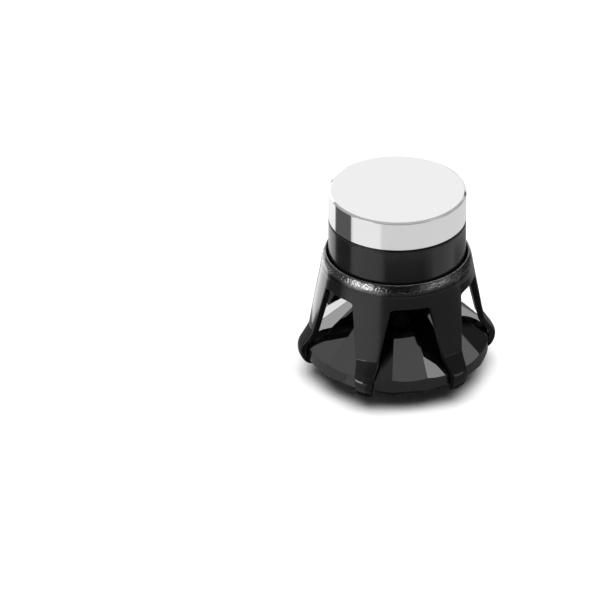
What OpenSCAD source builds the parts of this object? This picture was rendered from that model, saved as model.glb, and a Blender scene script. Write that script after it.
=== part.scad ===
// Magnetic earring: a round brilliant in a six-prong cup, a disc magnet glued in
// the cup, and a second disc magnet that holds on to it through the ear lobe.
// The origin is the centre of the stone's table, on which the earring stands.
// +Z runs up through the stone, the cup and both magnets.

/* [Magnets] */
// Diameter of both disc magnets
disc_d = 6.0; // [5.8:0.1:6.2]
// Thickness of the silver back disc
back_t = 1.4; // [1.2:0.1:2]
// Thickness of the black magnet in the cup
magnet_t = 2.0; // [1.6:0.1:2.4]
// Chamfer on the edges of the back disc
back_chamfer = 0.12; // [0.06:0.02:0.2]
// Chamfer on the edges of the black magnet
magnet_chamfer = 0.14; // [0.06:0.02:0.2]

/* [Stone] */
// Diameter of the stone at its girdle
stone_d = 8.0; // [7.8:0.1:8.2]
// Height of the crown, from the table to the girdle
crown_h = 1.02; // [0.96:0.02:1.1]
// Height of the girdle band at its thickest points
girdle_h = 0.56; // [0.5:0.02:0.6]
// Depth of the pavilion, from the girdle to the culet
pavilion_h = 3.44; // [3.3:0.02:3.6]
// Width of the table across its corners, as a share of the stone's diameter
table_ratio = 0.59; // [0.54:0.01:0.62]
// Distance of the star points from the axis, as a share of the stone's radius
star_ratio = 0.765; // [0.74:0.005:0.79]
// Length of the lower girdle facets, as a share of the way to the culet
lower_half = 0.86; // [0.75:0.01:0.9]
// Turn of the stone in its setting, in degrees
stone_turn = 9.6; // [0:0.1:45]

/* [Setting] */
// Thickness of the steel wall of the cup and the prongs
wall_t = 0.28; // [0.24:0.02:0.32]
// Thickness of the floor of the cup, under the magnet
floor_t = 0.3; // [0.2:0.05:0.4]
// Depth of the cup around the magnet
cup_depth = 0.5; // [0.4:0.05:0.7]
// Drop from the underside of the cup's floor to the top of the windows
window_drop = 0.36; // [0.3:0.02:0.5]
// Radius of the windows' upper corners
window_corner = 0.2; // [0.1:0.02:0.3]

/* [Prongs] */
// Number of prongs
prong_count = 6; // [4:2:6]
// Width of a prong at the top of the windows
prong_top_w = 1.77; // [1.6:0.01:1.9]
// Width of a prong where it starts to bend over the stone
prong_low_w = 0.94; // [0.85:0.01:1.05]
// Width of the claw at the end of a prong
claw_w = 0.72; // [0.6:0.02:0.8]
// Distance that a claw stands out past the girdle
claw_out = 0.42; // [0.36:0.02:0.48]
// Distance that a claw reaches in over the crown
claw_hold = 0.45; // [0.4:0.05:0.5]
// Radius of a claw's back, seen from the side
claw_r = 0.92; // [0.88:0.02:0.94]

/* [Hidden] */
$fn = 96;

// Thin gaps: glue under the magnet, the magnet in its bore, the discs on each
// other, the culet above the cup's floor, and the stone in its claws
glue_gap = 0.03;
bore_gap = 0.02;
rest_gap = 0.02;
culet_gap = 0.1;
stone_gap = 0.04;

disc_r = disc_d / 2;
stone_r = stone_d / 2;
table_r = table_ratio * stone_r;
star_r = star_ratio * stone_r;
lower_r = (1 - lower_half) * stone_r;

// Heights up the axis, from the table of the stone to the face of the back disc
girdle_z = crown_h;
pavilion_z = girdle_z + girdle_h;
culet_z = pavilion_z + pavilion_h;
floor_z = culet_z + culet_gap;
seat_z = floor_z + floor_t;
lip_z = seat_z + cup_depth;
magnet_z = seat_z + glue_gap;
back_z = magnet_z + magnet_t + rest_gap;
window_z = floor_z - window_drop;

// Depth of the centre of a window's upper corner below its top, as a share of its
// radius: the corner cuts the top at an angle
corner_sink = 0.8;

// The rounded shoulder of the cup: an arc in the plane of radius and height, upright
// at its foot, that ends at a thin lip around the magnet
bore_r = disc_r + bore_gap;
lip_w = 0.03;
shoulder_out = bore_r + wall_t;
shoulder_z = floor_z + 0.08;
shoulder_in = wall_t - lip_w;
shoulder_h = lip_z - shoulder_z;
shoulder_r = (shoulder_in ^ 2 + shoulder_h ^ 2) / (2 * shoulder_in);
shoulder_angle = asin(shoulder_h / shoulder_r);

// The knee where the straight prong turns out to pass the girdle, and the wall's
// inner face, which ends at a bend of its own
knee_z = pavilion_z + 0.77;
knee_r = stone_r - 0.17;
knee_angle = 50;
bend_z = knee_z - 0.3;
bend_r = knee_r - wall_t + 0.06;

// The claw: a round back, and a seat that clears the stone
claw_x = stone_r + claw_out - claw_r;
claw_z = girdle_z + girdle_h / 2 + 0.08;
claw_low_z = claw_z - claw_r;
tip_r = claw_w / 2;
seat_r = stone_r + stone_gap;
seat_in_r = stone_r - claw_hold;
seat_low_z = girdle_z - stone_gap;
seat_slope = 0.86;
claw_angle = -acos((seat_in_r - claw_x) / claw_r);

// The stone's facets: eightfold, with girdle arcs of a few steps for each facet
fold = 8;
facet_arc = 360 / fold / 2;
arc_steps = 4;
ring = 2 * fold * arc_steps;

// Azimuth of each prong: one on either side, and two at the front and back
function prong_angle(i) = 360 / prong_count * (i + 0.5);

// Points of an arc about a centre, from one angle to another
function arc(center, r, from, to, steps) =
    [for (i = [0 : steps])
        let (a = from + (to - from) * i / steps)
        center + r * [cos(a), sin(a)]];

// A point at a radius, an azimuth counted from the front towards +X, and a height
function polar(r, azimuth, z) = [r * sin(azimuth), -r * cos(azimuth), z];

// Height of the plane through three points, above a given point
function plane_z(a, b, c, p) =
    let (n = cross(b - a, c - a))
    a.z - (n.x * (p.x - a.x) + n.y * (p.y - a.y)) / n.z;

// Star points lie in the planes of the kites, lower points in those of the mains
star_z = crown_h * (star_r * cos(facet_arc) - table_r) / (stone_r - table_r);
lower_z = culet_z - pavilion_h * lower_r * cos(facet_arc) / stone_r;

function table_point(k) = polar(table_r, stone_turn + 2 * facet_arc * k, 0);
function star_point(k) = polar(star_r, stone_turn + facet_arc * (2 * k + 1), star_z);
function lower_point(k) = polar(lower_r, stone_turn + facet_arc * (2 * k + 1), lower_z);

// A girdle point where a girdle facet, rising from an inner point, meets the round
// outline. Even steps of the facet arc are the main corners, odd ones lie between.
function girdle_point(i, inner, z) =
    let (
        step = i / arc_steps,
        k = floor(step / 2),
        corner = round(step / 2) * 2,
        main = polar(stone_r, stone_turn + facet_arc * corner, z),
        half = polar(stone_r, stone_turn + facet_arc * (2 * k + 1), z),
        p = polar(stone_r, stone_turn + facet_arc * step, z)
    )
    step == floor(step) ? p : [p.x, p.y, plane_z(inner[k], main, half, p)];

// Back disc
module back_disc() {
    color([0.86, 0.86, 0.88])
        magnet_disc(back_z, back_t, back_chamfer);
}

// Black magnet in the cup
module front_magnet() {
    color([0.13, 0.13, 0.14])
        magnet_disc(magnet_z, magnet_t, magnet_chamfer);
}

// A disc with chamfered edges, standing at height z
module magnet_disc(z, t, chamfer) {
    rotate_extrude()
        polygon([
            [0, z],
            [disc_r - chamfer, z],
            [disc_r, z + chamfer],
            [disc_r, z + t - chamfer],
            [disc_r - chamfer, z + t],
            [0, z + t]
        ]);
}

// Cup and prongs, one piece of steel
module setting() {
    color([0.09, 0.09, 0.1])
        difference() {
            rotate_extrude()
                wall_section();
            windows();
            for (i = [0 : prong_count - 1])
                rotate([0, 0, prong_angle(i)])
                    claw_corners();
        }
}

// Section of the cup and the prongs: down the outside from the lip to the claw, back
// up along the seat of the stone and the inside, and around the cup's floor
module wall_section() {
    polygon(concat(
        [[bore_r, lip_z]],
        arc([shoulder_out - shoulder_r, shoulder_z], shoulder_r, shoulder_angle, 0, 5),
        [[knee_r, knee_z]],
        arc([claw_x, claw_z], claw_r, knee_angle, claw_angle, 10),
        [
            [seat_in_r, seat_low_z - claw_hold * seat_slope],
            [seat_r, seat_low_z],
            [seat_r, pavilion_z + stone_gap],
            [bend_r, bend_z],
            [knee_r - wall_t, knee_z],
            [bore_r, floor_z],
            [0, floor_z],
            [0, seat_z],
            [bore_r, seat_z]
        ]
    ));
}

// The windows: a ring under the cup, less the prongs
module windows() {
    difference() {
        rotate_extrude()
            translate([bore_r - wall_t, -1])
                square([stone_r, window_z + 1]);
        for (i = [0 : prong_count - 1])
            rotate([90, 0, prong_angle(i)])
                translate([0, 0, disc_r / 2])
                    linear_extrude(stone_r)
                        prong_outline();
    }
}

// A prong seen from outside: a taper down to the claw, with a fillet on either side
// under the cup
module prong_outline() {
    half = concat(
        [[prong_top_w / 2 + window_corner, window_z + 1]],
        arc([prong_top_w / 2 + window_corner, window_z - corner_sink * window_corner],
            window_corner, 90, 180, 4),
        [[prong_low_w / 2, bend_z], [tip_r, girdle_z + girdle_h / 2], [tip_r, -1.1]]
    );
    polygon(concat(half, [for (i = [len(half) - 1 : -1 : 0]) [-half[i].x, half[i].y]]));
}

// What is cut from the corners of a claw, seen along the axis, to round its end
module claw_corners() {
    for (side = [-1, 1])
        translate([0, -stone_r, -1])
            linear_extrude(girdle_z + 1)
                polygon([
                    [side * 2 * tip_r, 0],
                    [side * 0.96 * tip_r, 0],
                    [side * 0.7 * tip_r, tip_r * 0.75],
                    [side * 0.3 * tip_r, tip_r * 1.1],
                    [side * 0.3 * tip_r, 4 * tip_r],
                    [side * 2 * tip_r, 4 * tip_r]
                ]);
}

// Black round brilliant, table down
module stone() {
    tables = [for (k = [0 : fold - 1]) table_point(k)];
    stars = [for (k = [0 : fold - 1]) star_point(k)];
    lowers = [for (k = [0 : fold - 1]) lower_point(k)];
    crown_edge = [for (i = [0 : ring - 1]) girdle_point(i, stars, girdle_z)];
    pavilion_edge = [for (i = [0 : ring - 1]) girdle_point(i, lowers, pavilion_z)];
    points = concat(tables, stars, crown_edge, pavilion_edge, lowers, [[0, 0, culet_z]]);

    star0 = fold;
    crown0 = star0 + fold;
    pavilion0 = crown0 + ring;
    lower0 = pavilion0 + ring;
    culet = lower0 + fold;
    span = 2 * arc_steps;

    faces = concat(
        [[for (k = [0 : fold - 1]) k]],
        [for (k = [0 : fold - 1]) [(k + 1) % fold, k, star0 + k]],
        [for (k = [0 : fold - 1])
            [star0 + k, k, star0 + (k + fold - 1) % fold, crown0 + span * k]],
        [for (k = [0 : fold - 1], half = [0, arc_steps])
            concat(star0 + k,
                [for (i = [0 : arc_steps]) crown0 + (span * k + half + i) % ring])],
        [for (i = [0 : ring - 1])
            let (j = (i + 1) % ring)
            [crown0 + j, crown0 + i, pavilion0 + i, pavilion0 + j]],
        [for (k = [0 : fold - 1], half = [0, arc_steps])
            concat(lower0 + k,
                [for (i = [arc_steps : -1 : 0]) pavilion0 + (span * k + half + i) % ring])],
        [for (k = [0 : fold - 1])
            [culet, lower0 + k, pavilion0 + span * k, lower0 + (k + fold - 1) % fold]]
    );

    color([0.05, 0.05, 0.06])
        polyhedron(points, faces);
}

back_disc();
front_magnet();
setting();
stone();
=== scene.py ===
import math

import bmesh
import bpy
from mathutils import Matrix, Vector


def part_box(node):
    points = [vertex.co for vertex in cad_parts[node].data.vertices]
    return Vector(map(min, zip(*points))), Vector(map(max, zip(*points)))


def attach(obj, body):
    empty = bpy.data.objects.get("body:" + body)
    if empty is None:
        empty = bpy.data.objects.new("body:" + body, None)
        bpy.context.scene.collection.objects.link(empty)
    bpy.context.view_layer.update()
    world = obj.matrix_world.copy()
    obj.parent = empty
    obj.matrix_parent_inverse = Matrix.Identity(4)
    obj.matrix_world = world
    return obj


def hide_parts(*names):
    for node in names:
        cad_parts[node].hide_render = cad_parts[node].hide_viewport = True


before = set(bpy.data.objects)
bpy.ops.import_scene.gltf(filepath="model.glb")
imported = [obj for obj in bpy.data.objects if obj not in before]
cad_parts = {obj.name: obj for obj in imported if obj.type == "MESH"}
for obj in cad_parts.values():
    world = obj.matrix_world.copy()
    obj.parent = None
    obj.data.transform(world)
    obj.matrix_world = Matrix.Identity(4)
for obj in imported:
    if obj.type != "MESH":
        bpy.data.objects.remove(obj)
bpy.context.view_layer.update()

# The stone is a black cubic zirconia, cut as a round brilliant of 8 mm and polished on
# every facet. It stands on its table, and its point rises inside the cup. One eighth of
# it, a kite with the facets beside it, is cut here and set eight times round the axis.
mm = 0.001
stone_r = 4.0 * mm
table_r = 0.59 * stone_r
star_r = 0.765 * stone_r
lower_r = 0.14 * stone_r
girdle_z = 0.96 * mm
pavilion_z = 1.58 * mm
culet_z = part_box("stone")[1].z
stone_turn = math.radians(9.6)
folds = 8
half_fold = math.pi / folds
girdle_steps = 12
facet_edge = 0.005 * mm
least_bend = math.radians(3)


def round_at(radius, azimuth, height):
    """A point at an azimuth counted from the front towards +X."""
    return Vector((radius * math.sin(azimuth), -radius * math.cos(azimuth), height))


def height_on(a, b, c, point):
    """The height of the plane through three points, above a given point."""
    across = (b - a).cross(c - a)
    return a.z - (across.x * (point.x - a.x) + across.y * (point.y - a.y)) / across.z


def stone_point(radius, step, height):
    """A point of the stone, at a number of half folds from the middle of a kite."""
    return round_at(radius, stone_turn + half_fold * step, height)


def girdle_arc(inner, step, height):
    """The round edge of one girdle facet, which rises from an inner point."""
    ends = [stone_point(stone_r, s, height) for s in (step, step + 1)]
    arc = [ends[0]]
    for i in range(1, girdle_steps):
        point = stone_point(stone_r, step + i / girdle_steps, height)
        point.z = height_on(inner, *ends, point)
        arc.append(point)
    return arc + [ends[1]]


def eighth_of_stone():
    """One eighth of the facets: table, star, kite, main, and the halves at the girdle."""
    star_z = girdle_z * (star_r * math.cos(half_fold) - table_r) / (stone_r - table_r)
    pavilion_h = culet_z - pavilion_z
    lower_z = culet_z - pavilion_h * lower_r * math.cos(half_fold) / stone_r
    corners = [stone_point(table_r, s, 0) for s in (0, 2)]
    stars = [stone_point(star_r, s, star_z) for s in (-1, 1)]
    lowers = [stone_point(lower_r, s, lower_z) for s in (-1, 1)]
    crown_edge = [girdle_arc(stars[1], s, girdle_z) for s in (0, 1)]
    pavilion_edge = [girdle_arc(lowers[1], s, pavilion_z) for s in (0, 1)]
    facets = [
        [Vector((0, 0, 0)), *corners],
        [*corners, stars[1]],
        [stars[0], corners[0], stars[1], crown_edge[0][0]],
        [lowers[0], Vector((0, 0, culet_z)), lowers[1], pavilion_edge[0][0]],
    ]
    for top, foot in zip(pavilion_edge, crown_edge):
        facets.append([stars[1], *foot])
        facets.append([lowers[1], *top])
        for i in range(girdle_steps):
            facets.append([foot[i], foot[i + 1], top[i + 1], top[i]])
    return mesh_of("stone_eighth", facets)


def mesh_of(name, faces):
    """A mesh from faces that each list their own points."""
    points = [point for face in faces for point in face]
    corners, start = [], 0
    for face in faces:
        corners.append(list(range(start, start + len(face))))
        start += len(face)
    mesh = bpy.data.meshes.new(name)
    mesh.from_pydata(points, [], corners)
    return mesh


def round_axis_tree():
    """Copies of a part set round the +Z axis, welded into one and smoothed."""
    tree = bpy.data.node_groups.new("round_the_axis", "GeometryNodeTree")
    sides = tree.interface
    sides.new_socket("Part", in_out="INPUT", socket_type="NodeSocketGeometry")
    sides.new_socket("Copies", in_out="INPUT", socket_type="NodeSocketInt")
    sides.new_socket("Weld", in_out="INPUT", socket_type="NodeSocketFloat")
    sides.new_socket("Smoothing", in_out="INPUT", socket_type="NodeSocketInt")
    sides.new_socket("Finish", in_out="INPUT", socket_type="NodeSocketMaterial")
    sides.new_socket("Whole", in_out="OUTPUT", socket_type="NodeSocketGeometry")
    make, link = tree.nodes.new, tree.links.new
    given, result = make("NodeGroupInput"), make("NodeGroupOutput")
    places, turn = make("GeometryNodePoints"), make("ShaderNodeMath")
    turns, index = make("ShaderNodeCombineXYZ"), make("GeometryNodeInputIndex")
    share, copies = make("ShaderNodeMath"), make("GeometryNodeInstanceOnPoints")
    real, weld = make("GeometryNodeRealizeInstances"), make("GeometryNodeMergeByDistance")
    smooth, finish = make("GeometryNodeSubdivisionSurface"), make("GeometryNodeSetMaterial")
    turn.operation, share.operation = "MULTIPLY", "DIVIDE"
    share.inputs[0].default_value = 2 * math.pi
    link(given.outputs["Copies"], places.inputs["Count"])
    link(given.outputs["Copies"], share.inputs[1])
    link(index.outputs["Index"], turn.inputs[0])
    link(share.outputs[0], turn.inputs[1])
    link(turn.outputs[0], turns.inputs["Z"])
    link(places.outputs["Points"], copies.inputs["Points"])
    link(given.outputs["Part"], copies.inputs["Instance"])
    link(turns.outputs[0], copies.inputs["Rotation"])
    link(copies.outputs[0], real.inputs[0])
    link(real.outputs[0], weld.inputs["Geometry"])
    link(given.outputs["Weld"], weld.inputs["Distance"])
    link(weld.outputs[0], smooth.inputs["Mesh"])
    link(given.outputs["Smoothing"], smooth.inputs["Level"])
    link(smooth.outputs[0], finish.inputs["Geometry"])
    link(given.outputs["Finish"], finish.inputs["Material"])
    link(finish.outputs[0], result.inputs["Whole"])
    return tree


def set_round(name, part, copies, smoothing, finish):
    """One piece from a part that repeats round the axis, with its faces outwards."""
    piece = bpy.data.objects.new(name, part)
    bpy.context.scene.collection.objects.link(piece)
    maker = piece.modifiers.new("round_the_axis", "NODES")
    maker.node_group = round_the_axis
    sockets = {s.name: s.identifier for s in round_the_axis.interface.items_tree}
    maker[sockets["Copies"]] = copies
    maker[sockets["Weld"]] = weld_gap
    maker[sockets["Smoothing"]] = smoothing
    maker[sockets["Finish"]] = finish
    seen = piece.evaluated_get(bpy.context.evaluated_depsgraph_get())
    whole = bpy.data.meshes.new_from_object(seen)
    piece.modifiers.remove(maker)
    work = bmesh.new()
    work.from_mesh(whole)
    bmesh.ops.recalc_face_normals(work, faces=work.faces)
    if work.calc_volume(signed=True) < 0:
        bmesh.ops.reverse_faces(work, faces=work.faces)
    work.to_mesh(whole)
    work.free()
    whole.name = name
    piece.data = whole
    return piece


def grain_group():
    """Fine unevenness of a surface: a height for the bump, and a mask from 0 to 1."""
    group = bpy.data.node_groups.new("fine_grain", "ShaderNodeTree")
    sides = group.interface
    for label in ("Vector", "Grain size mm", "Haze size mm"):
        kind = "NodeSocketVector" if label == "Vector" else "NodeSocketFloat"
        sides.new_socket(label, in_out="INPUT", socket_type=kind)
    for label in ("Height", "Haze"):
        sides.new_socket(label, in_out="OUTPUT", socket_type="NodeSocketFloat")
    make, link = group.nodes.new, group.links.new
    given, result = make("NodeGroupInput"), make("NodeGroupOutput")
    for label, detail, target in (("Grain size mm", 2, "Height"), ("Haze size mm", 4, "Haze")):
        scale, noise = make("ShaderNodeMath"), make("ShaderNodeTexNoise")
        scale.operation = "DIVIDE"
        scale.inputs[0].default_value = 1 / mm
        noise.inputs["Detail"].default_value = detail
        link(given.outputs[label], scale.inputs[1])
        link(given.outputs["Vector"], noise.inputs["Vector"])
        link(scale.outputs[0], noise.inputs["Scale"])
        link(noise.outputs["Fac"], result.inputs[target])
    return group


def finish_of(name, colour, metallic, roughness, ior, grain_mm, haze_mm):
    """A material with its shader, and the fine grain placed on object coordinates."""
    material = bpy.data.materials.new(name)
    material.use_nodes = True
    nodes, link = material.node_tree.nodes, material.node_tree.links.new
    shader = nodes["Principled BSDF"]
    shader.inputs["Base Color"].default_value = (*colour, 1)
    shader.inputs["Metallic"].default_value = metallic
    shader.inputs["Roughness"].default_value = roughness[0]
    shader.inputs["IOR"].default_value = ior
    place, grain = nodes.new("ShaderNodeTexCoord"), nodes.new("ShaderNodeGroup")
    grain.node_tree = fine_grain
    grain.inputs["Grain size mm"].default_value = grain_mm
    grain.inputs["Haze size mm"].default_value = haze_mm
    link(place.outputs["Object"], grain.inputs["Vector"])
    # The haze hardly leaves the range from 0.3 to 0.7, which is spread over the roughness
    spread = nodes.new("ShaderNodeMapRange")
    spread.inputs["From Min"].default_value = 0.3
    spread.inputs["From Max"].default_value = 0.7
    spread.inputs["To Min"].default_value = roughness[0]
    spread.inputs["To Max"].default_value = roughness[1]
    link(grain.outputs["Haze"], spread.inputs["Value"])
    link(spread.outputs[0], shader.inputs["Roughness"])
    bump = nodes.new("ShaderNodeBump")
    link(grain.outputs["Height"], bump.inputs["Height"])
    link(bump.outputs[0], shader.inputs["Normal"])
    return material, shader, grain, bump


weld_gap = 0.0005 * mm
round_the_axis = round_axis_tree()
fine_grain = grain_group()
zirconia, *_, bump = finish_of(
    "black_zirconia", (0.002, 0.002, 0.0022), 0, (0.02, 0.05), 2.16, 0.05, 1.2)
bump.inputs["Strength"].default_value = 0.02
bump.inputs["Distance"].default_value = 0.002 * mm
stone = set_round("stone_brilliant", eighth_of_stone(), folds, 0, zirconia)
softening = stone.modifiers.new("facet_edges", "BEVEL")
softening.width = facet_edge
softening.segments = 1
softening.limit_method = "ANGLE"
softening.angle_limit = least_bend
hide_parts("stone")
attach(stone, "stud")

# The setting is one piece of thin steel, drawn to a cup and sawn into six tapered prongs
# whose ends are bent over the girdle as claws, then tumbled and plated black. One sixth
# of it, a prong with its share of the cup, is laid out here as a cage of broad faces.
# Points of its section are given as radius and height.
prongs = 6
bore_r = 3.02 * mm
seat_z = 5.42 * mm
floor_z = 5.12 * mm
shoulder = [Vector(p) * mm for p in ((3.322, 5.17), (3.314, 5.3), (3.293, 5.43), (3.262, 5.56),
                                     (3.225, 5.68), (3.185, 5.785), (3.16, 5.835),
                                     (3.13, 5.865), (3.09, 5.855), (3.05, 5.79), (3.025, 5.71))]
window_z = 4.76 * mm
window_fillet = 0.2 * mm
knee = Vector((3.835, 2.32)) * mm
claw = [Vector(p) * mm for p in ((3.97, 2.11), (4.12, 1.89), (4.27, 1.68), (4.37, 1.5),
                                 (4.385, 1.3), (4.36, 1.12), (4.25, 0.86), (4.1, 0.68),
                                 (3.9, 0.55), (3.66, 0.47))]
claw_foot = Vector((3.5, 1.38)) * mm
tip_start = 5
claw_half = 0.37 * mm
top_half = 0.87 * mm
low_half = 0.47 * mm
low_z = 2.05 * mm
rim = 0.07 * mm
window_side = math.radians(24.4)
window_middle = math.radians(30)
fillet_pull = 0.22 * window_fillet
bend_dome = 0.02
seat = [Vector(p) * mm for p in ((3.02, 5.12), (3.55, 2.35), (3.61, 2.05), (4.04, 1.62),
                                 (4.04, 0.98), (3.55, 0.59))]


def width_at(height):
    """Half the width of a prong: a taper to the bend, and a slimmer claw."""
    if height > low_z:
        share = (height - low_z) / (window_z - window_fillet - low_z)
        return low_half + (top_half - low_half) * min(share, 1)
    share = max((height - 1.3 * mm) / (low_z - 1.3 * mm), 0)
    return claw_half + (low_half - claw_half) * share


def seat_under(outer):
    """The point of the inner face under an outer one, on a line from the claw's foot."""
    ray = outer - claw_foot
    for a, b in zip(seat, seat[1:]):
        side_a = ray.cross(a - claw_foot)
        side_b = ray.cross(b - claw_foot)
        if side_a * side_b <= 0 and (a - claw_foot).dot(ray) > 0:
            return a.lerp(b, side_a / (side_a - side_b))
    return seat[-1]


def on_claw(place):
    """The outer and the inner point at a place along the claw, counted in its points."""
    before = min(int(place), len(claw) - 2)
    outer = claw[before].lerp(claw[before + 1], place - before)
    return outer, seat_under(outer)


def on_straight(height):
    """The outer and the inner point of the wall at a height."""
    share = (shoulder[0].y - height) / (shoulder[0].y - knee.y)
    outer = shoulder[0].lerp(knee, share)
    share = (seat[0].y - height) / (seat[0].y - seat[1].y)
    return outer, seat[0].lerp(seat[1], share)


def in_sector(radius, across, height):
    """A point of the sector at the front, from its radius and its place across it."""
    return Vector((across, -math.sqrt(radius * radius - across * across), height))


def sixth_of_setting():
    """A prong with its share of the cup: the outside, the inside and the rim between."""
    edge_r = on_straight(window_z)[0].x
    angles = [math.asin(x / edge_r) for x in (0.5 * top_half, top_half - rim, top_half,
                                              top_half + window_fillet)]
    angles = [0, *angles, window_side, window_middle]
    angles = [-a for a in reversed(angles[1:])] + angles
    count = len(angles)
    first, last = 3, count - 4
    # The cage stands out a little, as much as the smoothing draws it in again
    lift = []
    for i, angle in enumerate(angles):
        before = angle - angles[i - 1] if i else angles[1] - angles[0]
        after = angles[i + 1] - angle if i < count - 1 else angles[1] - angles[0]
        lift.append(6 / (4 + math.cos(before) + math.cos(after)))

    def collar_row(point):
        """A row of the cup, all the way across the sector."""
        return [in_sector(point[0] * lift[i], point[0] * lift[i] * math.sin(a), point[1])
                for i, a in enumerate(angles)]

    outside = [on_straight(4.98 * mm)[0]] + shoulder
    inside = [Vector((bore_r, z * mm)) for z in (5.62, 5.47, 5.42)]
    inside += [Vector((r * mm, seat_z)) for r in (2.97, 2.6, 1.6, 0.5)]
    under = [Vector((r * mm, floor_z)) for r in (0.5, 1.6, 2.6, 2.95, 3.02)]
    under += [on_straight(z * mm)[1] for z in (5.05, 4.9)]
    support_z = window_z + rim
    outer_rows = [collar_row(on_straight(support_z)[0])]
    outer_rows += [collar_row(p) for p in outside + inside]
    inner_rows = [collar_row(p) for p in under]
    inner_rows.append(collar_row(on_straight(support_z)[1]))

    def edge_row(skin):
        """The row along the top of the windows, drawn in at both corners of the prong."""
        row = collar_row(on_straight(window_z)[skin])
        for i, side in ((first, -1), (last, 1)):
            x = side * (top_half + fillet_pull)
            radius = on_straight(window_z - fillet_pull)[skin].x
            row[i] = in_sector(radius, x, window_z - fillet_pull)
        return row

    shares = [-1, 0, -0.5, 0, 0.5, 0, 1]
    straight = [z * mm for z in (4.66, 4.56, 4.3, 3.9, 3.5, 3.1, 2.75, 2.5, 2.38)]
    outer_prong, inner_prong = [], []

    def prong_row(pair, half, dome):
        """A row across the prong, outside and inside, with its sides falling away."""
        inset = 1 - rim / half
        shares[1], shares[5] = -inset, inset
        rows = []
        for depth in (0, 1):
            row = []
            for i, share in enumerate(shares):
                point = pair[0].lerp(pair[1], dome * share ** 2 if depth == 0 else 1)
                swell = 1 + (lift[first + i] - 1) * (half / top_half) ** 2
                across = swell * share * half * point.x / pair[0].x
                row.append(in_sector(swell * point.x, across, point.y))
            rows.append(row)
        outer_prong.append(rows[0])
        inner_prong.append(rows[1])

    for z in straight:
        prong_row(on_straight(z), width_at(z), 0)
    prong_row((knee, seat[1]), width_at(knee.y), bend_dome)
    bend = (knee.lerp(claw[0], 0.15), seat[1].lerp(seat[2], 0.4))
    prong_row(bend, width_at(knee.y), bend_dome)
    # The dome grows along the claw, and the tip is rounded both ways
    for place in range(tip_start + 1):
        outer, inner = on_claw(place)
        prong_row((outer, inner), width_at(outer.y), 0.04 + 0.03 * place)
    tip_inset = 1 - rim / claw_half
    for row_share in (0.3, 0.6, 0.82, 1):
        rows = [[], []]
        for share in (-1, -tip_inset, -0.5, 0, 0.5, tip_inset, 1):
            across = share * math.sqrt(1 - row_share ** 2 / 2)
            along = row_share * math.sqrt(1 - share ** 2 / 2)
            outer, inner = on_claw(tip_start + (len(claw) - 1 - tip_start) * along)
            dome = 0.22 * across ** 2 + 0.15 * along ** 2
            for row, point in zip(rows, (outer.lerp(inner, dome), inner)):
                row.append(in_sector(point.x, across * claw_half, point.y))
        outer_prong.append(rows[0])
        inner_prong.append(rows[1])

    faces = []

    def skin(rows):
        """Faces between each row and the next."""
        for a, b in zip(rows, rows[1:]):
            for i in range(len(a) - 1):
                faces.append([a[i], a[i + 1], b[i + 1], b[i]])

    outer_edge, inner_edge = edge_row(0), edge_row(1)
    skin([outer_edge] + outer_rows)
    skin(inner_rows + [inner_edge])
    top, low = outer_rows[-1], inner_rows[0]
    for i in range(count - 1):
        faces.append([top[i], top[i + 1], Vector((0, 0, seat_z))])
        faces.append([low[i + 1], low[i], Vector((0, 0, floor_z))])
    skin(outer_prong[::-1] + [outer_edge[first:last + 1]])
    skin([inner_edge[first:last + 1]] + inner_prong)

    def boundary(edge, prong):
        """The edge of the windows: along the top, down the prong, round its tip and up."""
        left = [row[0] for row in prong]
        right = [row[-1] for row in reversed(prong)]
        return edge[:first + 1] + left + prong[-1][1:-1] + right + edge[last:]

    # The rim is three bands wide, with the outer two narrow to keep its edges crisp
    outer_line = boundary(outer_edge, outer_prong)
    inner_line = boundary(inner_edge, inner_prong)
    bands = [outer_line, [], [], inner_line]
    for a, b in zip(outer_line, inner_line):
        share = min(0.6 * rim / (a - b).length, 0.33)
        bands[1].append(a.lerp(b, share))
        bands[2].append(b.lerp(a, share))
    skin(bands[::-1])
    return mesh_of("setting_sixth", faces)


# The plate is thin. Above the wall it turns from black to grey metal, and on the lip
# tumbling has worn it back to bright steel in fine spots.
plate_black = (0.006, 0.006, 0.0062)
plate_thin = (0.047, 0.047, 0.048)
steel_bare = (0.36, 0.36, 0.365)
steel_roughness = 0.05
thin_from, lip_from, lip_to = 5.28 * mm, 5.38 * mm, 5.58 * mm
black_plate, shader, grain, bump = finish_of(
    "black_plate", plate_black, 0, (0.12, 0.18), 1.55, 0.08, 0.9)
bump.inputs["Distance"].default_value = 0.019 * mm
nodes, link = black_plate.node_tree.nodes, black_plate.node_tree.links.new
place, parts = nodes.new("ShaderNodeTexCoord"), nodes.new("ShaderNodeSeparateXYZ")
lip, spots = nodes.new("ShaderNodeMapRange"), nodes.new("ShaderNodeMapRange")
metal, height = nodes.new("ShaderNodeMapRange"), nodes.new("ShaderNodeMath")
wear, polish = nodes.new("ShaderNodeMath"), nodes.new("ShaderNodeMix")
plate, colour = nodes.new("ShaderNodeMix"), nodes.new("ShaderNodeMix")
ranges = ((metal, thin_from, lip_from), (lip, lip_from, lip_to), (spots, 0.4, 0.6))
for node, start, end in ranges:
    node.inputs["From Min"].default_value = start
    node.inputs["From Max"].default_value = end
spots.inputs["To Min"].default_value = 0.3
height.operation, wear.operation = "MULTIPLY", "MULTIPLY"
polish.inputs[3].default_value = steel_roughness
plate.data_type, colour.data_type = "RGBA", "RGBA"
plate.inputs[6].default_value = (*plate_black, 1)
plate.inputs[7].default_value = (*plate_thin, 1)
colour.inputs[7].default_value = (*steel_bare, 1)
link(place.outputs["Object"], parts.inputs[0])
link(parts.outputs["Z"], metal.inputs["Value"])
link(parts.outputs["Z"], lip.inputs["Value"])
link(grain.outputs["Height"], height.inputs[0])
link(lip.outputs[0], height.inputs[1])
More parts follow.
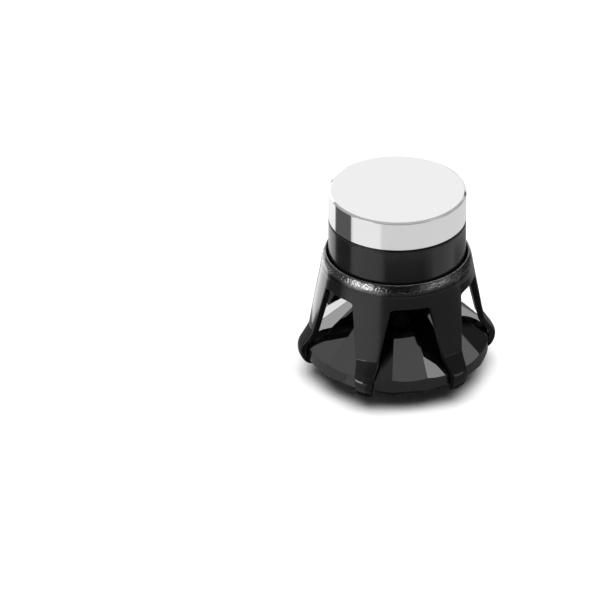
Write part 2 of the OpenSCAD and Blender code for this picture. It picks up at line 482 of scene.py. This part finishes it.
link(height.outputs[0], bump.inputs["Height"])
link(grain.outputs["Height"], spots.inputs["Value"])
link(lip.outputs[0], wear.inputs[0])
link(spots.outputs[0], wear.inputs[1])
link(metal.outputs[0], plate.inputs[0])
link(plate.outputs[2], colour.inputs[6])
link(wear.outputs[0], colour.inputs[0])
link(colour.outputs[2], shader.inputs["Base Color"])
link(metal.outputs[0], shader.inputs["Metallic"])
link(wear.outputs[0], polish.inputs[0])
link(shader.inputs["Roughness"].links[0].from_socket, polish.inputs[2])
link(polish.outputs[0], shader.inputs["Roughness"])
setting = set_round("setting_cup_and_prongs", sixth_of_setting(), prongs, 2, black_plate)
for face in setting.data.polygons:
    face.use_smooth = True
setting.data.transform(Matrix.Rotation(window_middle, 4, "Z"))
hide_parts("setting")
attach(setting, "stud")

# The front magnet is a sintered disc under smooth black nickel. It is glued into the cup
# and is never taken out. Both discs are turned from one section, with flattened chamfers.
disc_steps = 192
edge_soft = 0.006 * mm
chamfer_slope = 0.62


def turned_disc(name, low, high, radius, corner, finish):
    """A disc turned from its section, with chamfered edges and flat faces."""
    rise = chamfer_slope * corner
    corners = [Vector((0, low)), Vector((radius - corner, low)), Vector((radius, low + rise)),
               Vector((radius, high - rise)), Vector((radius - corner, high)), Vector((0, high))]
    section = [corners[0]]
    for before, at, after in zip(corners, corners[1:], corners[2:]):
        back = (before - at).normalized() * edge_soft
        on = (after - at).normalized() * edge_soft
        section += [at + 2 * back, at + back, at + on, at + 2 * on]
    section.append(corners[-1])
    turn = 2 * math.pi / disc_steps
    faces = []
    for a, b in zip(section, section[1:]):
        ring = [round_at(a.x, 0, a.y), round_at(a.x, turn, a.y),
                round_at(b.x, turn, b.y), round_at(b.x, 0, b.y)]
        if a.x == 0:
            ring.pop(0)
        if b.x == 0:
            ring.pop(2)
        faces.append(ring)
    disc = set_round(name, mesh_of(name + "_slice", faces), disc_steps, 0, finish)
    for face in disc.data.polygons:
        face.use_smooth = True
    return disc


black_nickel, *_, bump = finish_of(
    "black_nickel", (0.006, 0.006, 0.0065), 0, (0.15, 0.2), 1.5, 0.08, 1.5)
bump.inputs["Strength"].default_value = 0.05
bump.inputs["Distance"].default_value = 0.004 * mm
low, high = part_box("front_magnet")
front = turned_disc("front_magnet_disc", low.z, high.z, high.x, 0.12 * mm, black_nickel)
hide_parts("front_magnet")
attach(front, "stud")

# The back disc is the clutch worn behind the lobe, a bare disc magnet plated with bright
# nickel. Nothing but the pull of the magnets holds it.
nickel, *_, bump = finish_of(
    "bright_nickel", (0.86, 0.86, 0.87), 1, (0.05, 0.08), 1.5, 0.05, 1.0)
bump.inputs["Strength"].default_value = 0.05
bump.inputs["Distance"].default_value = 0.004 * mm
low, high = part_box("back_disc")
back = turned_disc("back_disc_clutch", low.z, high.z, high.x, 0.1 * mm, nickel)
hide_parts("back_disc")
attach(back, "back")

# The earring stands on a plain white sheet. Round it lie dim glowing sheets of painted shade,
# standing for the earring's shadow on the sheet, and only the gloss of the piece sees them.
# Directions are counted from the camera's side towards the right.
camera_azimuth = math.radians(-9.7)
camera_elevation = math.radians(30.53)
right = Vector((math.cos(camera_azimuth), math.sin(camera_azimuth), 0))
near = Vector((math.sin(camera_azimuth), -math.cos(camera_azimuth), 0))
back_to_camera = near * math.cos(camera_elevation) + Vector((0, 0, math.sin(camera_elevation)))
up = back_to_camera.cross(right)

sheet = bpy.data.meshes.new("floor_sheet")
sheet_half = 600 * mm
sheet_corners = [(x * sheet_half, y * sheet_half, 0)
                 for x, y in ((-1, -1), (1, -1), (1, 1), (-1, 1))]
sheet.from_pydata(sheet_corners, [], [(0, 1, 2, 3)])
floor = bpy.data.objects.new("floor_sheet", sheet)
bpy.context.scene.collection.objects.link(floor)
white = bpy.data.materials.new("white_sheet")
white.use_nodes = True
shader = white.node_tree.nodes["Principled BSDF"]
shader.inputs["Base Color"].default_value = (0.8, 0.8, 0.8, 1)
shader.inputs["Roughness"].default_value = 1
shader.inputs["Specular IOR Level"].default_value = 0
sheet.materials.append(white)
floor.visible_glossy = False
painted_shade_steps = 48
painted_shade_lift = 0.01 * mm


def painted_shade_card(name, arc, inner, outer, light):
    """A glowing sheet of painted shade on the floor, seen only by the gloss: an arc in degrees,
    from one radius to another in mm.
    """
    near_side, far_side = [], []
    for i in range(painted_shade_steps + 1):
        angle = math.radians(arc[0] + (arc[1] - arc[0]) * i / painted_shade_steps)
        way = near * math.cos(angle) + right * math.sin(angle)
        near_side.append(inner * mm * way)
        far_side.append(outer * mm * way)
    work = bmesh.new()
    for i in range(painted_shade_steps):
        ring = (near_side[i], far_side[i], far_side[i + 1], near_side[i + 1])
        work.faces.new([work.verts.new(p + Vector((0, 0, painted_shade_lift))) for p in ring])
    mesh = bpy.data.meshes.new(name)
    work.to_mesh(mesh)
    work.free()
    card = bpy.data.objects.new(name, mesh)
    bpy.context.scene.collection.objects.link(card)
    paint = bpy.data.materials.new(name)
    paint.use_nodes = True
    shader = paint.node_tree.nodes["Principled BSDF"]
    shader.inputs["Base Color"].default_value = (0, 0, 0, 1)
    shader.inputs["Specular IOR Level"].default_value = 0
    # Painted shade: the sheet glows at the dim level of a shaded floor
    shader.inputs["Emission Color"].default_value = (light, light, light, 1)
    shader.inputs["Emission Strength"].default_value = 1
    mesh.materials.append(paint)
    card.visible_camera = False
    card.visible_diffuse = False
    card.visible_shadow = False


# Painted shade round the earring as the gloss sees it, darkest as a painted shadow under the
# crown
painted_shade_card("painted_shadow_under_the_crown", (-180, 180), 2.4, 4.4, 0.01)
painted_shade_card("painted_shade_far_left", (-180, -118), 4.4, 8.0, 0.27)
painted_shade_card("painted_shade_round_the_left", (-118, -45), 4.4, 10.5, 0.27)
painted_shade_card("painted_shade_left_of_front", (-45, -22), 4.4, 10.5, 0.38)
painted_shade_card("painted_shade_round_the_front", (-22, 180), 4.4, 10.5, 0.14)
painted_shade_card("painted_shade_in_front", (-20, 44), 10.5, 15.3, 0.12)
painted_shade_card("painted_shade_half_right", (44, 54), 10.5, 15.1, 0.32)
painted_shade_card("painted_shade_at_the_right", (100, 150), 10.5, 13.9, 0.28)


def card_group():
    """The light of one soft card, seen in a direction given by azimuth and elevation."""
    group = bpy.data.node_groups.new("soft_card", "ShaderNodeTree")
    sides = group.interface
    labels = ("Azimuth", "Elevation", "At azimuth", "Half width", "At elevation", "Half height",
              "Softness", "Light", "Under")
    for label in labels:
        sides.new_socket(label, in_out="INPUT", socket_type="NodeSocketFloat")
    sides.new_socket("Light", in_out="OUTPUT", socket_type="NodeSocketFloat")
    make, link = group.nodes.new, group.links.new
    given, result = make("NodeGroupInput"), make("NodeGroupOutput")

    def worked_out(operation, *values):
        """The outcome of one sum, from numbers and sockets."""
        node = make("ShaderNodeMath")
        node.operation = operation
        for i, value in enumerate(values):
            if isinstance(value, (int, float)):
                node.inputs[i].default_value = value
            else:
                link(value, node.inputs[i])
        return node.outputs[0]

    masks = []
    for angle, at, size, wraps in (("Azimuth", "At azimuth", "Half width", True),
                                   ("Elevation", "At elevation", "Half height", False)):
        off = worked_out("SUBTRACT", given.outputs[angle], given.outputs[at])
        if wraps:
            off = worked_out("WRAP", off, 180, -180)
        off = worked_out("ABSOLUTE", off)
        rest = worked_out("SUBTRACT", given.outputs[size], off)
        rest = worked_out("DIVIDE", rest, given.outputs["Softness"])
        node = make("ShaderNodeMapRange")
        node.interpolation_type = "SMOOTHSTEP"
        node.inputs["From Min"].default_value = -1
        link(rest, node.inputs["Value"])
        masks.append(node.outputs[0])
    mask = worked_out("MULTIPLY", *masks)
    mix = make("ShaderNodeMix")
    link(mask, mix.inputs["Factor"])
    link(given.outputs["Under"], mix.inputs[2])
    link(given.outputs["Light"], mix.inputs[3])
    link(mix.outputs[0], result.inputs[0])
    return group


def studio():
    """The room: even light for the floor, and cards that only the gloss sees."""
    world = bpy.data.worlds.new("studio")
    bpy.context.scene.world = world
    world.use_nodes = True
    nodes, link = world.node_tree.nodes, world.node_tree.links.new
    place = nodes.new("ShaderNodeTexCoord")
    axes = []
    for axis in (right, near, Vector((0, 0, 1))):
        dot = nodes.new("ShaderNodeVectorMath")
        dot.operation = "DOT_PRODUCT"
        dot.inputs[1].default_value = axis
        link(place.outputs["Generated"], dot.inputs[0])
        axes.append(dot.outputs["Value"])
    angles = []
    for operation, sources in (("ARCTAN2", axes[:2]), ("ARCSINE", axes[2:])):
        turn, degrees = nodes.new("ShaderNodeMath"), nodes.new("ShaderNodeMath")
        turn.operation, degrees.operation = operation, "DEGREES"
        for i, source in enumerate(sources):
            link(source, turn.inputs[i])
        link(turn.outputs[0], degrees.inputs[0])
        angles.append(degrees.outputs[0])

    def light_of(cards, room):
        """All the cards of a list, each laid over the ones before it."""
        light = None
        for at_az, half_w, at_el, half_h, soft, value in cards:
            card = nodes.new("ShaderNodeGroup")
            card.node_tree = soft_card
            link(angles[0], card.inputs["Azimuth"])
            link(angles[1], card.inputs["Elevation"])
            given = (("At azimuth", at_az), ("Half width", half_w), ("At elevation", at_el),
                     ("Half height", half_h), ("Softness", soft), ("Light", value),
                     ("Under", room))
            for label, number in given:
                card.inputs[label].default_value = number
            if light is not None:
                link(light, card.inputs["Under"])
            light = card.outputs["Light"]
        return light

    path = nodes.new("ShaderNodeLightPath")
    plain = nodes.new("ShaderNodeMix")
    plain.inputs[3].default_value = 1
    link(path.outputs["Is Camera Ray"], plain.inputs["Factor"])
    link(light_of(lamps, room_light), plain.inputs[2])
    gloss = nodes.new("ShaderNodeMix")
    link(path.outputs["Is Glossy Ray"], gloss.inputs["Factor"])
    link(plain.outputs[0], gloss.inputs[2])
    link(light_of(cards, gloss_light), gloss.inputs[3])
    link(gloss.outputs[0], nodes["Background"].inputs["Color"])


# The room has one broad lamp overhead, which lights the sheet. The other cards are seen
# only by the gloss, and a later one lies over those before it. All angles are in degrees.
# Columns: azimuth, half width, elevation, half height, softness, light
room_light = 0.05
lamps = [
    (0, 181, 90, 38, 8, 4.6),
]
gloss_light = 0.45
cards = [
    (0, 181, -60, 34, 2, 0.72),
    (-155, 27, -60, 34, 2, 0.86),
    (-106, 22, -60, 34, 1.5, 0.1),
    (-54.5, 26.5, -60, 34, 4, 0.92),
    (-103, 16, -12, 14, 2, 0.06),
    (-50, 28, -12, 14, 5, 0.85),
    (38, 60, -12, 14, 4, 0.16),
    (133, 30, -2, 22, 4, 0.06),
    (-108, 22, 0, 17, 4, 0.14),
    (-143, 18, -24, 5, 1.5, 2.2),
    (-132, 24, -8, 9, 2, 0.2),
    (-150, 16, 17, 13, 2, 1.7),
    (-165, 10, -9, 7, 1, 2.2),
    (-50, 40, 16, 18, 4, 0.13),
    (5, 24, 14, 20, 4, 0.02),
    (62, 40, 16, 18, 4, 0.05),
    (10, 62, 41, 9, 4, 0.03),
    (77, 14, 50, 10, 3, 1.6),
    (112, 12, 34, 9, 3, 0.7),
    (-41, 12, 63, 6, 3, 0.15),
    (-103.5, 5, 40, 4, 2, 0.02),
    (-55, 20, 27, 7, 3, 0.25),
    (-53, 15, 3, 5.5, 1.5, 6.5),
    (62, 20, 6, 6, 3, 1.0),
    (165, 20, 2, 12, 3, 0.95),
    (180, 38, 33, 10, 5, 1.0),
]
soft_card = card_group()
studio()

# The camera stands well back with a long lens, and the earring is right of the middle.
eye = bpy.data.objects.new("camera", bpy.data.cameras.new("camera"))
bpy.context.scene.collection.objects.link(eye)
bpy.context.scene.camera = eye
distance = 400 * mm
aim_right, aim_up = -4.224 * mm, 2.836 * mm
aim = aim_right * right + aim_up * up
eye.location = aim + distance * back_to_camera
eye.rotation_euler = Matrix((right, up, back_to_camera)).transposed().to_euler()
eye.data.sensor_width = 36
eye.data.lens = 547.6
bpy.context.scene.view_settings.view_transform = "Standard"
